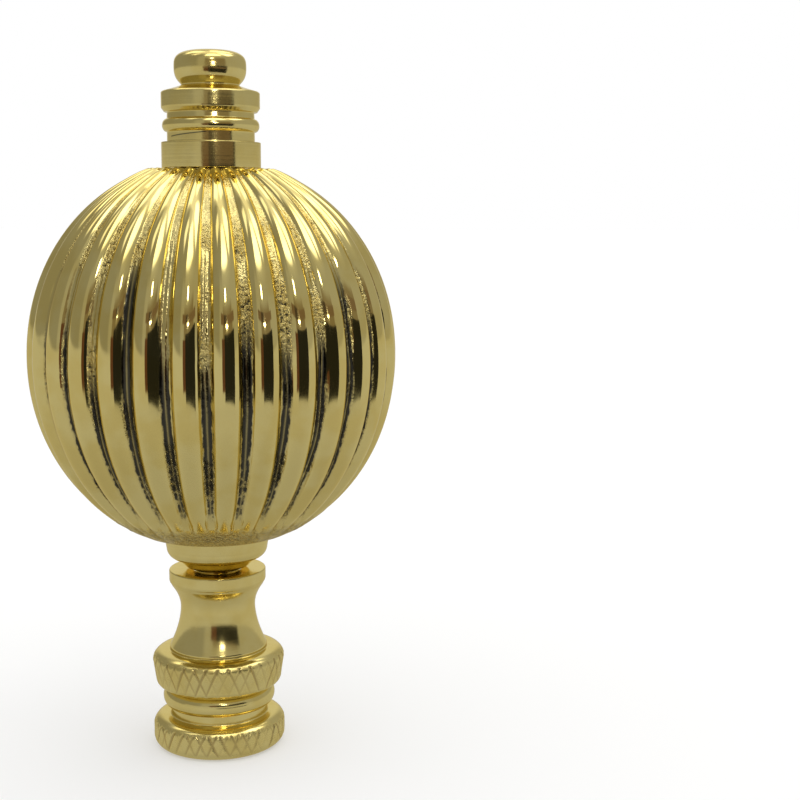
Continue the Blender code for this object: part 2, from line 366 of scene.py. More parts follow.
def ball_angles():
    """The azimuth, channel number and share of the pitch of each column of the ball's mesh."""
    shares = pitch_samples()
    order = np.argsort(np.mod(shares, 1.0))
    shares = shares[order]
    number = np.repeat(np.arange(RIB_COUNT), len(shares))
    share = np.tile(shares, RIB_COUNT)
    around = number + np.mod(share, 1.0)
    degrees = FIRST_CHANNEL_DEGREES - 90 + 360 * around / RIB_COUNT
    channel = np.where(share < 0, (number + 1) % RIB_COUNT, number)
    return np.radians(degrees), channel, share


def outline(centre, radius, heights):
    """Radius of the crest outline and its outward normal (radial, upward) at each height."""
    def at(z):
        share = np.clip(np.abs(z - centre) / BALL_HALF_HEIGHT, 0, 1)
        squareness = np.where(z > centre, BALL_SQUARENESS_ABOVE, BALL_SQUARENESS_BELOW)
        return radius * (1 - share**squareness) ** (1 / squareness)
    step = 0.01
    slope = (at(heights + step) - at(heights - step)) / (2 * step)
    length = np.sqrt(1 + slope**2)
    return at(heights), 1 / length, -slope / length


def ball_heights(seat, top, centre):
    """Heights of the skin's rows, evenly spaced round the outline."""
    start = math.asin((seat + SKIN_FOOT - centre) / BALL_HALF_HEIGHT)
    end = math.asin((top - centre) / BALL_HALF_HEIGHT)
    return centre + BALL_HALF_HEIGHT * np.sin(np.linspace(start, end, BALL_ROWS))


def channel_masks(local):
    """How far each point is inside a channel, and inside the channel's middle, where the dark patina and
    painted shade go.
    """
    edge = CHANNEL_SHARE / 2
    inside = smooth_step(edge + 0.03, edge - 0.02, np.abs(local))
    core = smooth_step(edge + 0.02, CHANNEL_CORE_SHARE, np.abs(local))
    return inside, core


def with_ends(rows, foot=0.0, crown=None):
    """Rows of a mask, with the two rings below the skin and the one above it added."""
    blank = np.zeros((1, rows.shape[1]))
    crown = blank if crown is None else crown
    return np.concatenate([blank + foot, blank + foot, rows, crown])


def flat_ring(radius, height, angles):
    return ring_at(np.full(len(angles), radius), angles, np.full(len(angles), height))


def ball_relief(seat, top, crest, heights, radius):
    """Depth of each point below the crest outline, and the masks that the finish uses."""
    rng = np.random.default_rng(SEED)
    angles, channel, share = ball_angles()
    edge_wander = wander(rng, RIB_COUNT, heights, EDGE_WAVES, EDGE_WANDER)
    depth_gain = 1 + wander(rng, RIB_COUNT, heights, DEPTH_WAVES, DEPTH_WANDER)
    foot = (seat + CHANNEL_FOOT + rng.uniform(*CHANNEL_FOOT_SPREAD, RIB_COUNT))[channel][None, :]
    grain = cast_grain(rng, angles, heights)
    chance = rng.uniform(0, 1, RIB_COUNT)[channel][None, :]
    up = heights[:, None]
    local = share[None, :] + edge_wander[channel].T
    inside, core = channel_masks(local)
    fade = smooth_step(foot, foot + CHANNEL_FADE_IN, up)
    rough_rim = smooth_step(seat + ROUGH_RIM[0], seat + ROUGH_RIM[1], up)
    sunk = 1 - SHALLOW_LOSS * smooth_step(top - SHALLOW_FROM, top - SHALLOW_TO, up)
    ribs_fade = smooth_step(seat + RIBS_FADE_IN[0], seat + RIBS_FADE_IN[1], up)
    scale = (radius / crest)[:, None] ** RIB_FLATTENING_POWER
    depth = rib_depth(local, crest, sunk) * scale * (1 + (depth_gain[channel].T - 1) * inside)
    depth = depth * (inside * fade + (1 - inside) * ribs_fade)
    depth = depth + CAST_GRAIN * grain * (inside * fade + RIM_GRAIN_GAIN * rough_rim)
    masks = {
        "channel": with_ends(inside * fade, crown=inside[-1:]),
        "ridge": with_ends(np.exp(-((local / RIDGE_MASK_SHARE) ** 2)) * fade),
        "core": with_ends(core * fade, crown=core[-1:]),
        "rim": with_ends(np.broadcast_to(rough_rim, inside.shape), foot=1.0),
        "pick": with_ends(np.broadcast_to(chance, inside.shape)),
    }
    return depth, masks


def make_ball():
    """The ribbed skin between its seat and the cap, as one closed mesh."""
    low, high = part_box("ribbed_ball")
    seat, top = low.z / MM, high.z / MM
    crest = max(high.x - low.x, high.y - low.y) / 2 / MM
    centre = seat + BALL_HALF_HEIGHT - BALL_CUT_BELOW
    heights = ball_heights(seat, top, centre)
    radius, normal_r, normal_z = outline(centre, crest, heights)
    depth, masks = ball_relief(seat, top, crest, heights, radius)
    angles, _, _ = ball_angles()
    reach = radius[:, None] - depth * normal_r[:, None]
    lift = CAP_LIFT * smooth_step(top - CAP_LIFT_FROM, top, heights)
    level = (heights + lift)[:, None] - depth * normal_z[:, None]
    rings = [flat_ring(SEAT_RADIUS, seat, angles), flat_ring(LIP_RADIUS, seat + LIP_HEIGHT, angles)]
    rings += [ring_at(reach[i], angles, level[i]) for i in range(BALL_ROWS)]
    rings.append(flat_ring(CROWN_RADIUS, top - CROWN_DEPTH, angles))
    return mesh_from_rings("ribbed_ball_fine", rings, masks)


def ring_at(reach, angles, level):
    return np.stack([reach * np.cos(angles), reach * np.sin(angles), level], axis=1)


def cast_grain(rng, angles, heights):
    """Uneven cast surface, from a random field smoothed over its neighbours."""
    field = rng.normal(0, 1, (len(heights), len(angles)))
    smooth = field + np.roll(field, 1, 1) + np.roll(field, -1, 1)
    smooth[1:] += smooth[:-1] * 0.6
    return smooth / np.abs(smooth).max() * 2.2


# Turned pieces

def bun_path(foot, top):
    """The bun knob's skin: a squared ellipse above its middle and a rounder one below it."""
    middle = top - BUN_ABOVE
    power = BUN_SQUARENESS_BELOW
    start = -((1 - (BUN_FOOT_RADIUS / BUN_RADIUS) ** power) ** (1 / power))
    points = []
    for share in np.linspace(start, 0, 14, endpoint=False):
        reach = BUN_RADIUS * (1 - abs(share) ** power) ** (1 / power)
        points.append((reach, middle + BUN_BELOW * share))
    for angle in np.radians(np.linspace(0, 90, 26)):
        share_z = math.sin(angle) ** (2 / BUN_SQUARENESS_ABOVE)
        share_r = max(math.cos(angle), 0.0) ** (2 / BUN_SQUARENESS_ABOVE)
        points.append((max(BUN_RADIUS * share_r, BUN_POLE_RADIUS), middle + BUN_ABOVE * share_z))
    points[0] = (points[0][0], foot)
    return points


def make_cap():
    low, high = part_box("top_cap")
    register, top = low.z / MM, high.z / MM
    collar = register + REGISTER_LENGTH
    disc = collar + DISC_FOOT
    path = rounded([
        (CAP_REGISTER_RADIUS, register, 0),
        (CAP_REGISTER_RADIUS, collar - COLLAR_LAP, 0),
        (COLLAR_RADIUS, collar - COLLAR_LAP, 0.05),
        (COLLAR_RADIUS, collar + COLLAR_TOP, 0.06),
        (CAP_GROOVE_RADIUS, collar + COLLAR_TOP, 0.05),
        (CAP_GROOVE_RADIUS, collar + CAP_BEAD_FOOT, 0.05),
        (CAP_GROOVE_RADIUS + 0.03, collar + CAP_BEAD_FOOT, 0),
    ])
    bead = collar + CAP_BEAD_MIDDLE
    path += arc(CAP_GROOVE_RADIUS, bead, CAP_BEAD_WIDTH, CAP_BEAD_HALF_HEIGHT, -84, 84, 22)
    path += rounded([
        (CAP_GROOVE_RADIUS, collar + CAP_BEAD_HEAD, 0),
        (CAP_GROOVE_RADIUS - 0.03, disc, 0.08),
        (DISC_FOOT_RADIUS, disc, 0.16),
        (DISC_RADIUS, disc + DISC_FOOT_BEVEL, 0.24),
        (DISC_RADIUS, disc + DISC_SIDE_TOP, 0.12),
        (DISC_TOP_RADIUS, disc + DISC_TOP, 0.10),
        (NECK_SHOULDER[0], disc + NECK_SHOULDER[1], 0.10),
        (NECK_FOOT[0], disc + NECK_FOOT[1], 0.08),
        (NECK_RADIUS, disc + NECK_TOP, 0),
    ])
    path += bun_path(disc + BUN_FOOT, top)
    return turned_mesh("top_cap_fine", path, 0.11)


def make_cup():
    low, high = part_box("seat_cup")
    bottom, top = low.z / MM, high.z / MM
    foot, rim = bottom + REGISTER_LENGTH, top - REGISTER_LENGTH
    path = rounded([
        (CUP_LOWER_REGISTER_RADIUS, bottom, 0),
        (CUP_LOWER_REGISTER_RADIUS, foot, 0),
        (CUP_FOOT_RADIUS, foot, 0.05),
        (CUP_CONE_TOP[0], foot + CUP_CONE_TOP[1], 0),
    ])
    path += arc(CUP_COVE_CENTRE[0], foot + CUP_COVE_CENTRE[1], *CUP_COVE_RADII, -84, 0, 18)
    path += rounded([
        (CUP_SIDE_FOOT[0], foot + CUP_SIDE_FOOT[1], 0),
        (CUP_RIM_RADIUS, rim, 0.05),
        (CUP_UPPER_REGISTER_RADIUS, rim, 0),
        (CUP_UPPER_REGISTER_RADIUS, top, 0),
    ])
    return turned_mesh("seat_cup_fine", path, 0.12)


def knurl_depth(angles, height, radius, press):
    """Depth of two crossing sets of fine slanting cuts. Press gives each cut's own share."""
    depth = np.zeros(len(angles))
    pitch = 2 * np.pi * radius / KNURL_COUNT
    lean = height * math.tan(math.radians(KNURL_SLANT))
    for side, (way, phase) in enumerate(zip((1, -1), KNURL_PHASES)):
        along = (angles * radius + way * lean) / pitch + phase + 0.5
        gap = np.abs(np.mod(along, 1.0) - 0.5) * pitch
        cut = smooth_step(KNURL_WIDTH / 2, 0.02, gap)
        number = np.mod(np.floor(along), KNURL_COUNT).astype(int)
        depth = np.maximum(depth, cut * KNURL_DEPTH * press[side][number])
    return depth


def ring_band(low, height, taper, edge):
    """Rings of the knurled band, with the cuts worked into them, and each point's cut share."""
    rng = np.random.default_rng(SEED + round(low * 10))
    press = rng.uniform(*KNURL_PRESS, (2, KNURL_COUNT))
    lower = RING_RADIUS - taper
    path = arc(lower - edge, low + edge, edge, edge, -90, 0, 9)
    wide, tall = RING_SHOULDER
    path += arc(RING_RADIUS - wide, low + height - tall, wide, tall, 0, 86, 12)
    fine = BASE_SIDES * KNURL_RATIO
    angles = 2 * np.pi * np.arange(fine) / fine
    rings, cuts = [], []
    for radius, level in subdivided(path, 0.11):
        share = (level - low) / height
        side = lower + taper * share
        shallow = smooth_step(side - KNURL_EDGE_FADE[0], side - KNURL_EDGE_FADE[1], radius)
        shallow = shallow * (KNURL_FOOT_SHARE + (1 - KNURL_FOOT_SHARE) * share)
        cut = knurl_depth(angles, level - low, RING_RADIUS, press) * shallow
        rings.append(ring_at(radius - cut, angles, np.full(fine, level)))
        cuts.append(cut / KNURL_DEPTH)
    return rings, cuts


def coarse(path, step=0.2):
    return [circle(radius, height, BASE_SIDES) for radius, height in subdivided(path, step)]


def thread_rings(depth):
    """The socket's internal thread, a helix between its inner and outer radius."""
    tall = THREAD_MAJOR_RADIUS - THREAD_MINOR_RADIUS
    angles = 2 * np.pi * np.arange(BASE_SIDES) / BASE_SIDES
    rings = []
    for level in np.arange(depth, 0.05, -THREAD_STEP):
        turn = np.mod(level / THREAD_PITCH - angles / (2 * np.pi), 1.0)
        tooth = np.clip(np.abs(turn - 0.5) * THREAD_FLANK - THREAD_ROOT, 0, 1)
        lead = smooth_step(0.0, THREAD_LEAD, level)
        rings.append(ring_at(THREAD_MAJOR_RADIUS - tall * tooth * lead, angles, np.full(BASE_SIDES, level)))
    return rings


def base_groove_path():
    """The lower groove, the bead and the narrow groove between the two knurled rings."""
    points = rounded([
        (GROOVE_RADIUS + 0.35, LOWER_RING_HEIGHT, 0),
        (GROOVE_RADIUS, LOWER_RING_HEIGHT + 0.02, 0.12),
        (GROOVE_RADIUS, GROOVE_TOP, 0.05),
        (GROOVE_RADIUS + 0.04, GROOVE_TOP + 0.02, 0),
    ])
    points += arc(GROOVE_RADIUS, BEAD_MIDDLE, BEAD_WIDTH, BEAD_HALF_HEIGHT, -82, 66, 20)
    points += rounded([
        (*BEAD_HEAD, 0),
        (UPPER_GROOVE_RADIUS, UPPER_RING_FOOT, 0.05),
        (UPPER_GROOVE_RADIUS + 0.22, UPPER_RING_FOOT, 0),
    ])
    return points


def base_waist_path():
    """From the step above the upper ring, over the flare and the waist, to the flange's top."""
    points = rounded([
        (FLARE_RADIUS + 0.32, FLARE_FOOT, 0),
        (FLARE_RADIUS, FLARE_FOOT + 0.01, 0.08),
        (FLARE_RADIUS, FLARE_STEP_TOP, 0),
    ])
    for share in np.linspace(1, 0, 18):
        reach = WAIST_RADIUS + (FLARE_RADIUS - WAIST_RADIUS) * share**FLARE_POWER
        points.append((reach, WAIST_HEIGHT - FLARE_HEIGHT * share))
    for share in np.linspace(0.08, 1, 12):
        reach = WAIST_RADIUS + (FLANGE_UNDERSIDE_RADIUS - WAIST_RADIUS) * share**2
        points.append((reach, WAIST_HEIGHT + FLANGE_UNDERSIDE_RISE * share))
    points += arc(*FLANGE_EDGE_CENTRE, *FLANGE_EDGE_RADII, -42, 0, 8)
    points += rounded([
        (FLANGE_RADIUS, FLANGE_EDGE_CENTRE[1] + 0.08, 0),
        (FLANGE_RADIUS, FLANGE_TOP, 0.16),
        (DISH_RADIUS, FLANGE_TOP, 0),
        (WELL_RADIUS, FLANGE_TOP, 0),
        (WELL_RADIUS, WELL_FLOOR, 0),
    ])
    return points


def uncut(rings):
    """A cut share of nothing for each point of plain rings."""
    return [np.zeros(len(ring)) for ring in rings]


def make_base():
    socket = [circle(SOCKET_CONE_RADIUS, SOCKET_DEPTH, BASE_SIDES)]
    socket.append(circle(SOCKET_END_RADIUS, SOCKET_DEPTH, BASE_SIDES))
    socket += thread_rings(SOCKET_DEPTH)
    socket += coarse([(THREAD_MAJOR_RADIUS, 0.0), (FOOT_INNER_RADIUS, 0.0), (FOOT_OUTER_RADIUS, 0.0)], 0.5)
    lower, lower_cuts = ring_band(0.0, LOWER_RING_HEIGHT, 0.0, LOWER_RING_EDGE)
    groove = coarse(base_groove_path())
    upper, upper_cuts = ring_band(UPPER_RING_FOOT, UPPER_RING_HEIGHT, UPPER_RING_TAPER, UPPER_RING_EDGE)
    waist = coarse(base_waist_path())
    rings = socket + lower + groove + upper + waist
    cuts = uncut(socket) + lower_cuts + uncut(groove) + upper_cuts + uncut(waist)
    return mesh_from_rings("knurled_base_fine", rings, {"cut": cuts})


# Materials

class Nodes:
    """Short calls for building a node tree."""

    def __init__(self, tree):
        self.tree = tree

    def add(self, kind, **settings):
        node = self.tree.nodes.new(kind)
        for key, value in settings.items():
            setattr(node, key, value)
        return node

    def link(self, source, target):
        self.tree.links.new(source, target)

    def feed(self, target, value):
        """Links a socket, or sets a plain value."""
        if isinstance(value, bpy.types.NodeSocket):
            self.link(value, target)
        else:
            target.default_value = value

    def math(self, operation, a, b=0.0, c=None, clamp=False):
        node = self.add("ShaderNodeMath", operation=operation, use_clamp=clamp)
        self.feed(node.inputs[0], a)
        self.feed(node.inputs[1], b)
        if c is not None:
            self.feed(node.inputs[2], c)
        return node.outputs[0]

    def ramp(self, value, low, high, to_low=0.0, to_high=1.0):
        """A smooth step of a value between two limits."""
        node = self.add("ShaderNodeMapRange", interpolation_type="SMOOTHSTEP")
        for socket, number in zip(node.inputs[:5], (value, low, high, to_low, to_high)):
            self.feed(socket, number)
        return node.outputs[0]

    def mix(self, share, first, second):
        node = self.add("ShaderNodeMix", data_type="RGBA")
        self.feed(node.inputs[0], share)
        self.feed(node.inputs[6], first)
        self.feed(node.inputs[7], second)
        return node.outputs[2]

    def noise(self, vector, scale, detail=2.0, roughness=0.5):
        node = self.add("ShaderNodeTexNoise")
        self.feed(node.inputs["Vector"], vector)
        node.inputs["Scale"].default_value = scale
        node.inputs["Detail"].default_value = detail
        node.inputs["Roughness"].default_value = roughness
        return node.outputs[0]


def object_point(nodes):
    """The surface point in the row frame, its distance from the axis, and its x, y and height."""
    place = nodes.add("ShaderNodeTexCoord").outputs["Object"]
    parts = nodes.add("ShaderNodeSeparateXYZ")
    nodes.link(place, parts.inputs[0])
    x, y, z = parts.outputs
    squares = nodes.math("ADD", nodes.math("MULTIPLY", x, x), nodes.math("MULTIPLY", y, y))
    return place, nodes.math("SQRT", squares), x, y, z


def start_material(name):
    material = bpy.data.materials.new(name)
    material.use_nodes = True
    nodes = Nodes(material.node_tree)
    shader = material.node_tree.nodes["Principled BSDF"]
    shader.inputs["Metallic"].default_value = 1.0
    shader.inputs["Specular Tint"].default_value = EDGE_TINT
    return material, nodes, shader


def bump(nodes, height, distance, strength=1.0, normal=None):
    node = nodes.add("ShaderNodeBump")
    nodes.feed(node.inputs["Strength"], strength)
    node.inputs["Distance"].default_value = distance
    nodes.link(height, node.inputs["Height"])
    if normal is not None:
        nodes.link(normal, node.inputs["Normal"])
    return node.outputs[0]


# Colours of the metal
BRASS = (0.80, 0.67, 0.27, 1.0)
BRASS_DEEP = (0.76, 0.61, 0.21, 1.0)
EDGE_TINT = (1.0, 0.93, 0.70, 1.0)
TARNISH = (0.36, 0.30, 0.14, 1.0)
# Painted shade in the knurl cuts
KNURL_CUT_SHADE = (0.44, 0.325, 0.12, 1.0)
# Dark patina and painted shade in the lower channels, also used for the cast pits and the cap's scratch
DARK_STAIN_AND_SHADE = (0.055, 0.052, 0.042, 1.0)
CHANNEL_METAL = (0.45, 0.38, 0.19, 1.0)
RIM_METAL = (0.46, 0.38, 0.17, 1.0)

# The finishes' own sizes are in metres, and their scales are in waves for each metre
CAP_ROUGHNESS = 0.06
CUP_ROUGHNESS = 0.10
BASE_ROUGHNESS = 0.065
LATHE_LINES_SCALE = 14000.0
BROAD_LINES_SCALE = 2600.0
CLOUD_SCALE = 420.0
SPECKS_SCALE = 3800.0
LATHE_LINES_DEPTH = 0.0000015
BROAD_LINES_DEPTH = 0.000006
CLOUD_DEPTH = 0.00002
KNURLED_FROM = 0.00595
KNURLED_FULL = 0.00620
KNURLED_ROUGHNESS = 0.13

# The scratch on the cap: azimuth limits in degrees, height at its left end and its rise
SCRATCH_ANGLES = (-63.0, -6.0)
SCRATCH_FOOT = 0.05834
SCRATCH_RISE = 0.00036
SCRATCH_HALF_WIDTH = 0.00003
SCRATCH_FADE = 0.00008

# The casting's grain, streaks and clouds
GRAIN_SCALE = 2900.0
GRAIN_DEPTH = 0.00048
STREAKS_SCALE = 2800.0
STREAKS_STRETCH = 0.35
PATCHES_SCALE = 150.0
MOTTLE_SCALE = 1100.0
CASTING_CLOUD_SCALE = 260.0
CASTING_CLOUD_DEPTH = 0.00003

# Heights on the ball between which the casting's marks, and the channels' dark patina with its painted
# shade, come and go
SHADED_STAIN_TOP = 0.0390
SHADED_STAIN_TOP_SPREAD = 0.010
SHADED_STAIN_FADE = 0.004
SHADED_STAIN_FOOT = (0.0222, 0.0262)
SHADED_STAIN_BREAKS_UP = (0.034, 0.024)
PITS_END = (0.0530, 0.0480)
SATIN_BELOW = (0.0400, 0.0310)


def scratch(nodes, x, y, height):
    """The long thin scratch that slants across the cap's lower groove at the left."""
    left, right = SCRATCH_ANGLES
    angle = azimuth_degrees(nodes, x, y)
    along = nodes.math("DIVIDE", nodes.math("SUBTRACT", angle, left), right - left)
    level = nodes.math("MULTIPLY_ADD", along, SCRATCH_RISE, SCRATCH_FOOT)
    away = nodes.math("ABSOLUTE", nodes.math("SUBTRACT", height, level))
    line = nodes.ramp(away, SCRATCH_FADE, SCRATCH_HALF_WIDTH)
    return nodes.math("MULTIPLY", line, band(nodes, angle, left, right, 2))


def turned_brass(name, roughness, cuts=False, scratched=False):
    """Polished turned brass: fine lathe lines round the axis, faint clouding and small marks.

    With cuts, the knurled bands are more matt and their cuts are darkened with painted shade.
    """
    material, nodes, shader = start_material(name)
    place, radius, x, y, height = object_point(nodes)
    rings = nodes.add("ShaderNodeCombineXYZ")
    nodes.link(radius, rings.inputs[0])
    nodes.link(height, rings.inputs[1])
    lines = nodes.noise(rings.outputs[0], LATHE_LINES_SCALE, 3.0, 0.6)
    broad_lines = nodes.noise(rings.outputs[0], BROAD_LINES_SCALE, 2.0)
    cloud = nodes.noise(place, CLOUD_SCALE, 3.0)
    specks = nodes.noise(place, SPECKS_SCALE, 2.0, 0.6)
    colour = nodes.mix(nodes.ramp(cloud, 0.35, 0.75), BRASS, BRASS_DEEP)
    colour = nodes.mix(nodes.math("MULTIPLY", nodes.ramp(specks, 0.70, 0.80), 0.35), colour, TARNISH)
    if scratched:
        mark = nodes.math("MULTIPLY", scratch(nodes, x, y, height), 0.75)
        colour = nodes.mix(mark, colour, DARK_STAIN_AND_SHADE)
    shine = nodes.math("ADD", nodes.math("MULTIPLY", lines, 0.05), nodes.math("MULTIPLY", cloud, 0.10))
    if cuts:
        # Painted shade in the knurl cuts, darker where a cut is deeper
        cut_shade = nodes.math("MULTIPLY", nodes.ramp(attribute(nodes, "cut"), 0.08, 0.60), 0.70)
        colour = nodes.mix(cut_shade, colour, KNURL_CUT_SHADE)
        knurled = nodes.ramp(radius, KNURLED_FROM, KNURLED_FULL, 0.0, KNURLED_ROUGHNESS)
        shine = nodes.math("ADD", shine, knurled)
    nodes.link(colour, shader.inputs["Base Color"])
    nodes.link(nodes.math("ADD", shine, roughness), shader.inputs["Roughness"])
    normal = bump(nodes, lines, LATHE_LINES_DEPTH)
    normal = bump(nodes, broad_lines, BROAD_LINES_DEPTH, 0.6, normal)
    normal = bump(nodes, cloud, CLOUD_DEPTH, 0.5, normal)
    nodes.link(normal, shader.inputs["Normal"])
    return material


def channel_stain_and_shade(nodes, place, height):
    """The dark patina and painted shade in the lower half of the channels, broken into streaks further
    down, lighter on each channel's middle ridge.
    """
    core = attribute(nodes, "core")
    streaks = nodes.noise(stretched(nodes, place, STREAKS_STRETCH), STREAKS_SCALE, 3.0, 0.6)
    top = nodes.math("MULTIPLY_ADD", attribute(nodes, "pick"), SHADED_STAIN_TOP_SPREAD, SHADED_STAIN_TOP)
    below = nodes.math("SUBTRACT", top, height)
    where = nodes.math("MULTIPLY", nodes.ramp(below, 0.0, SHADED_STAIN_FADE), nodes.ramp(height, *SHADED_STAIN_FOOT))
    where = nodes.math("MULTIPLY", where, nodes.ramp(core, 0.02, 0.25))
    broken = nodes.math("MULTIPLY_ADD", nodes.math("SUBTRACT", streaks, 0.5), 2.2, core)
    broken = nodes.math("SUBTRACT", broken, nodes.ramp(height, *SHADED_STAIN_BREAKS_UP, 0.0, 0.40))
    ridge_spared = nodes.math("MULTIPLY_ADD", attribute(nodes, "ridge"), -0.55, 1.0)
    # Painted shade with dark patina, less of it on the channel's middle ridge
    stain_shade = nodes.math("MULTIPLY", nodes.ramp(broken, 0.15, 0.75), where)
    return nodes.math("MULTIPLY", stain_shade, ridge_spared)


def grainy_patches(nodes, place, channel, height):
    """The stretches of the channels where the cast grain is coarse."""
    patch = nodes.ramp(nodes.noise(place, PATCHES_SCALE, 1.0), 0.46, 0.58)
    patch = nodes.math("MULTIPLY", patch, nodes.ramp(height, *PITS_END))
    return nodes.math("MULTIPLY", channel, nodes.math("MULTIPLY_ADD", patch, 0.90, 0.10))


def casting_shine(nodes, place, height, cloud, rough):
    """Roughness of the casting: more in the channels and on the rim, satin on the lower ribs."""
    shine = nodes.math("ADD", nodes.math("MULTIPLY", cloud, 0.06), nodes.math("MULTIPLY", rough, 0.07))
    mottle = nodes.noise(place, MOTTLE_SCALE, 4.0, 0.6)
    satin = nodes.math("MULTIPLY", nodes.ramp(height, *SATIN_BELOW), mottle)
    shine = nodes.math("MULTIPLY_ADD", satin, 0.20, shine)
    return nodes.math("ADD", shine, 0.035)


def gilt_casting():
    """Plated casting: bright ribs, rough dark channels with a dark patina and painted shade low down, and a
    coarse brownish rim below.
    """
    material, nodes, shader = start_material("gilt_casting_finish")
    place, _, _, _, height = object_point(nodes)
    channel = attribute(nodes, "channel")
    rim = attribute(nodes, "rim")
    grain = nodes.noise(place, GRAIN_SCALE, 3.0, 0.65)
    cloud = nodes.noise(place, CASTING_CLOUD_SCALE, 3.0)
    patches = grainy_patches(nodes, place, channel, height)
    pits = nodes.math("MULTIPLY", patches, nodes.ramp(grain, 0.47, 0.36))
    colour = nodes.mix(nodes.ramp(cloud, 0.40, 0.62), BRASS, BRASS_DEEP)
    colour = nodes.mix(nodes.math("MULTIPLY", channel, 0.30), colour, CHANNEL_METAL)
    colour = nodes.mix(nodes.math("MULTIPLY", pits, 0.85), colour, DARK_STAIN_AND_SHADE)
    # Painted shade with dark patina in the lower half of the channels
    colour = nodes.mix(channel_stain_and_shade(nodes, place, height), colour, DARK_STAIN_AND_SHADE)
    colour = nodes.mix(nodes.math("MULTIPLY", rim, nodes.ramp(grain, 0.30, 0.65)), colour, RIM_METAL)
    nodes.link(colour, shader.inputs["Base Color"])
    rough = nodes.math("MAXIMUM", channel, rim)
    nodes.link(casting_shine(nodes, place, height, cloud, rough), shader.inputs["Roughness"])
    normal = bump(nodes, grain, GRAIN_DEPTH, nodes.math("MAXIMUM", patches, rim))
    normal = bump(nodes, cloud, CASTING_CLOUD_DEPTH, 0.5, normal)
    nodes.link(normal, shader.inputs["Normal"])
    return material


def attribute(nodes, name):
    node = nodes.add("ShaderNodeAttribute", attribute_name=name)
    return node.outputs["Fac"]


def stretched(nodes, place, upright):
    """The place with its height shrunk, so that a pattern runs up and down."""
    node = nodes.add("ShaderNodeMapping")
    nodes.link(place, node.inputs["Vector"])
    node.inputs["Scale"].default_value = (1.0, 1.0, upright)
    return node.outputs[0]


def azimuth_degrees(nodes, x, y):
    """The angle round the axis in degrees: 0 at the front, positive to the right."""
    angle = nodes.math("ARCTAN2", x, nodes.math("MULTIPLY", y, -1.0))
    return nodes.math("MULTIPLY", angle, 180 / math.pi)


def dress(piece, node_name, material):
    piece.data.materials.clear()
    piece.data.materials.append(material)
    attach(piece, "root")
    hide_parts(node_name)


# Studio

def band(nodes, value, low, high, soft):
    """1 between two limits of a value, with soft edges."""
    rise = nodes.ramp(value, low - soft, low + soft)
    fall = nodes.ramp(value, high + soft, high - soft)
    return nodes.math("MULTIPLY", rise, fall)


def studio_world():
    """A room's light as a function of direction. The camera and the floor see an even white."""
    world = bpy.data.worlds.new("studio")
    world.use_nodes = True
    bpy.context.scene.world = world
    nodes = Nodes(world.node_tree)
    world.node_tree.nodes.clear()
    way = nodes.add("ShaderNodeTexCoord").outputs["Generated"]
    parts = nodes.add("ShaderNodeSeparateXYZ")
    nodes.link(way, parts.inputs[0])
    x, y, z = parts.outputs
    rise = nodes.math("MULTIPLY", nodes.math("ARCSINE", z), 180 / math.pi)
    room = room_light(nodes, azimuth_degrees(nodes, x, y), rise)
    path = nodes.add("ShaderNodeLightPath")
    room = nodes.mix(path.outputs["Is Diffuse Ray"], room, LIGHT_ON_FLOOR)
    room = nodes.mix(path.outputs["Is Camera Ray"], room, BACKDROP)
    output = nodes.add("ShaderNodeOutputWorld")
    background = nodes.add("ShaderNodeBackground")
    nodes.link(room, background.inputs["Color"])
    nodes.link(background.outputs[0], output.inputs["Surface"])


BACKDROP = (1.0, 1.0, 1.0, 1.0)
LIGHT_ON_FLOOR = (1.13, 1.13, 1.13, 1.0)

# Grey levels of the room. Where there are two, the level changes from one to the other upwards
# or downwards from the horizon.
FRONT_WALL, LEFT_WALL, BACK_WALL = 0.42, 0.31, 0.72
FLOOR_LEVELS = (0.56, 0.46)
CEILING_LEVELS = (0.50, 1.10)
DIM_CEILING_LEVELS = (0.33, 0.80)
BROWN = (0.25, 0.21, 0.16, 1)

# Broad lamps overhead: azimuth, half width, lowest and highest elevation in degrees, level
LAMPS = (
    (14, 34, 50, 78, 2.7),
    (92, 22, 46, 74, 2.8),
    (-78, 14, 52, 72, 1.5),
    (160, 22, 46, 72, 2.2),
    (-146, 20, 46, 72, 2.0),
)

# The brown shape above the dark screens: azimuth limits, lowest and highest elevation
BROWN_SHAPE = (-16, 50, 3, 27)


def room_light(nodes, turn, rise):
    """Walls, floor and ceiling of the room, with a brown shape and lamps."""
    wall = nodes.mix(band(nodes, turn, -180, -40, 6), grey(FRONT_WALL), grey(LEFT_WALL))
    wall = nodes.mix(nodes.ramp(nodes.math("ABSOLUTE", turn), 150, 168), wall, grey(BACK_WALL))
    floor = nodes.mix(nodes.ramp(rise, -10, -65), *map(grey, FLOOR_LEVELS))
    ceiling = nodes.mix(nodes.ramp(rise, 40, 75), *map(grey, CEILING_LEVELS))
    dim_ceiling = nodes.mix(nodes.ramp(rise, 60, 82), *map(grey, DIM_CEILING_LEVELS))
    ceiling = nodes.mix(band(nodes, turn, -118, -20, 8), ceiling, dim_ceiling)
    room = nodes.mix(nodes.ramp(rise, 1.0, 4.0), floor, wall)
    room = nodes.mix(nodes.ramp(rise, 34.0, 46.0), room, ceiling)
    left, right, low, high = BROWN_SHAPE
    share = nodes.math("MULTIPLY", band(nodes, turn, left, right, 2), band(nodes, rise, low, high, 4))
    room = nodes.mix(share, room, BROWN)
    for azimuth, half, low, high, level in LAMPS:
        across = band(nodes, turn, azimuth - half, azimuth + half, 5.0)
        share = nodes.math("MULTIPLY", across, band(nodes, rise, low, high, 4.0))
        room = nodes.mix(share, room, grey(level))
    return room


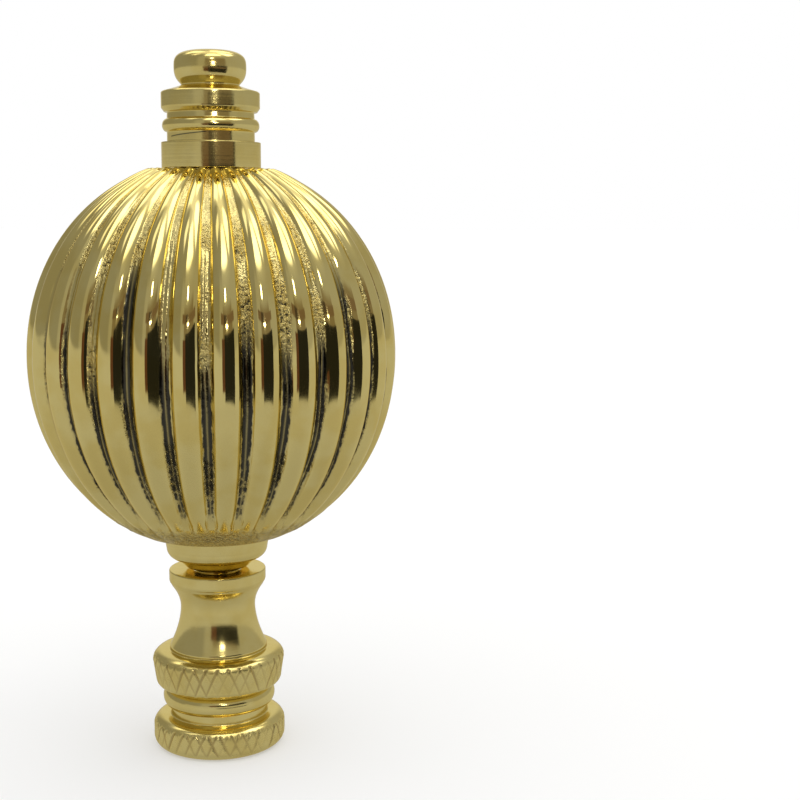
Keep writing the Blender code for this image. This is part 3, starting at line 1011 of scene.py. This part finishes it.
# Curved screens round the finial, which only its reflections show: distance from the axis,
# azimuth limits in degrees, lowest and highest height and colour. The third is a bright lamp,
# the next three are the copper-brown shapes on the cap, and the last one is for the base.
SCREENS = (
    (0.150, -6, 55, -0.012, 0.073, (0.020, 0.020, 0.018, 1.0)),
    (0.150, -21, -6, 0.002, 0.066, (0.12, 0.055, 0.035, 1.0)),
    (0.150, 2, 10, 0.126, 0.152, (9.0, 8.9, 8.5, 1.0)),
    (0.060, 8, 50, 0.0568, 0.0622, (0.20, 0.145, 0.11, 1.0)),
    (0.060, -6, 8, 0.0568, 0.0622, (0.075, 0.058, 0.048, 1.0)),
    (0.060, -22, -6, 0.0568, 0.0622, (0.18, 0.125, 0.09, 1.0)),
    (0.060, -70, 70, 0.0027, 0.0164, (0.53, 0.522, 0.498, 1.0)),
)
SCREEN_STEPS = 24

# The small lamp's distance from the axis, azimuth, height, half width, half height and level
SMALL_LAMP = (0.148, 9.5, 0.0855, 0.0150, 0.0034, 20.0)
SMALL_LAMP_SIDES = 24


def small_lamp():
    """A small oval lamp above the first screen, seen as a bright dot on each rib and on the flare."""
    distance, azimuth, height, wide, tall, level = SMALL_LAMP
    angle = math.radians(azimuth)
    centre = Vector((distance * math.sin(angle), -distance * math.cos(angle), height))
    across = Vector((math.cos(angle), math.sin(angle), 0.0))
    points = []
    for i in range(SMALL_LAMP_SIDES):
        turn = 2 * math.pi * i / SMALL_LAMP_SIDES
        points.append(centre + across * (wide * math.cos(turn)) + Vector((0, 0, tall * math.sin(turn))))
    mesh = bpy.data.meshes.new("small_lamp")
    mesh.from_pydata(points, [], [tuple(range(SMALL_LAMP_SIDES))])
    mesh.materials.append(glow("small_lamp", grey(level)))
    hide_from_camera(bpy.data.objects.new("small_lamp", mesh))


def hide_from_camera(screen):
    """Stages a screen or lamp that only reflections show."""
    bpy.context.scene.collection.objects.link(screen)
    screen.visible_camera = False
    screen.visible_diffuse = False
    screen.visible_shadow = False
    screen.visible_transmission = False


def curved_screens():
    """The dark shapes, panels and lamp that the ribs, the cap and the base mirror."""
    for number, (distance, left, right, low, high, colour) in enumerate(SCREENS):
        corners = []
        for i in range(SCREEN_STEPS + 1):
            azimuth = math.radians(left + (right - left) * i / SCREEN_STEPS)
            x, y = distance * math.sin(azimuth), -distance * math.cos(azimuth)
            corners += [(x, y, low), (x, y, high)]
        faces = [(2 * i, 2 * i + 2, 2 * i + 3, 2 * i + 1) for i in range(SCREEN_STEPS)]
        name = f"screen_{number + 1}"
        mesh = bpy.data.meshes.new(name)
        mesh.from_pydata(corners, [], faces)
        mesh.materials.append(glow(name, colour))
        hide_from_camera(bpy.data.objects.new(name, mesh))


def glow(name, colour):
    material = bpy.data.materials.new(name)
    material.use_nodes = True
    nodes = Nodes(material.node_tree)
    material.node_tree.nodes.clear()
    emission = nodes.add("ShaderNodeEmission")
    emission.inputs["Color"].default_value = colour
    output = nodes.add("ShaderNodeOutputMaterial")
    nodes.link(emission.outputs[0], output.inputs["Surface"])
    return material


def grey(level):
    """A nearly neutral grey, a little warm."""
    return (level, level * 0.985, level * 0.94, 1.0)


FLOOR_HALF_SIDE = 3.0
FLOOR_COLOUR = (0.60, 0.60, 0.60, 1.0)
FLOOR_GLOW = 0.32


def pale_floor():
    """A plain pale floor with a soft shadow, which the metal doesn't mirror."""
    size = FLOOR_HALF_SIDE
    corners = [(-size, -size, 0), (size, -size, 0), (size, size, 0), (-size, size, 0)]
    mesh = bpy.data.meshes.new("floor")
    mesh.from_pydata(corners, [], [(0, 1, 2, 3)])
    floor = bpy.data.objects.new("floor", mesh)
    bpy.context.scene.collection.objects.link(floor)
    material, _, shader = start_material("pale_floor")
    shader.inputs["Metallic"].default_value = 0.0
    shader.inputs["Base Color"].default_value = FLOOR_COLOUR
    shader.inputs["Emission Color"].default_value = (1.0, 1.0, 1.0, 1.0)
    shader.inputs["Emission Strength"].default_value = FLOOR_GLOW
    shader.inputs["Roughness"].default_value = 0.9
    shader.inputs["Specular IOR Level"].default_value = 0.0
    mesh.materials.append(material)
    floor.visible_glossy = False


def photo_camera():
    """The camera at the photograph's viewing angle, turned so that the finial stands at its left."""
    middle = PHOTO_SIDE / 2
    pitch = math.atan((middle - HORIZON_Y_PX) / FOCAL_PX)
    low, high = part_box("ribbed_ball")
    centre = (low.z + high.z) / 2
    aside = (middle - AXIS_X_PX) / FOCAL_PX
    yaw = math.asin(aside)
    for _ in range(8):
        depth = CAMERA_DISTANCE * math.cos(yaw) * math.cos(pitch)
        depth += (CAMERA_HEIGHT - centre) * math.sin(pitch)
        yaw = math.asin(aside * depth / CAMERA_DISTANCE)
    ahead = Vector((
        math.sin(yaw) * math.cos(pitch), math.cos(yaw) * math.cos(pitch), -math.sin(pitch)
    ))
    data = bpy.data.cameras.new("camera")
    data.sensor_width = SENSOR_MM
    data.lens = FOCAL_PX / PHOTO_SIDE * SENSOR_MM
    data.clip_start = CLIP_START
    camera = bpy.data.objects.new("camera", data)
    camera.location = (0.0, -CAMERA_DISTANCE, CAMERA_HEIGHT)
    camera.rotation_mode = "QUATERNION"
    level = ahead.to_track_quat("-Z", "Y")
    roll = Quaternion(ahead, math.radians(CAMERA_ROLL_DEGREES))
    camera.rotation_quaternion = roll @ level
    bpy.context.scene.collection.objects.link(camera)
    bpy.context.scene.camera = camera


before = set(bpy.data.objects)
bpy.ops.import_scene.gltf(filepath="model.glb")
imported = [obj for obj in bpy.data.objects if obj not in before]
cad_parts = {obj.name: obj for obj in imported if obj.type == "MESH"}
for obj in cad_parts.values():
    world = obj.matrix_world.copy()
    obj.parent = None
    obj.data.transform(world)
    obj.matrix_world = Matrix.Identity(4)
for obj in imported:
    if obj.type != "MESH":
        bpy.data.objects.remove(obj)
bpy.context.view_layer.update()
bpy.context.scene.view_settings.view_transform = "Standard"
dress(make_cap(), "top_cap", turned_brass("cap_finish", CAP_ROUGHNESS, scratched=True))
dress(make_cup(), "seat_cup", turned_brass("cup_finish", CUP_ROUGHNESS))
dress(make_base(), "knurled_base", turned_brass("base_finish", BASE_ROUGHNESS, cuts=True))
dress(make_ball(), "ribbed_ball", gilt_casting())
studio_world()
curved_screens()
small_lamp()
pale_floor()
photo_camera()
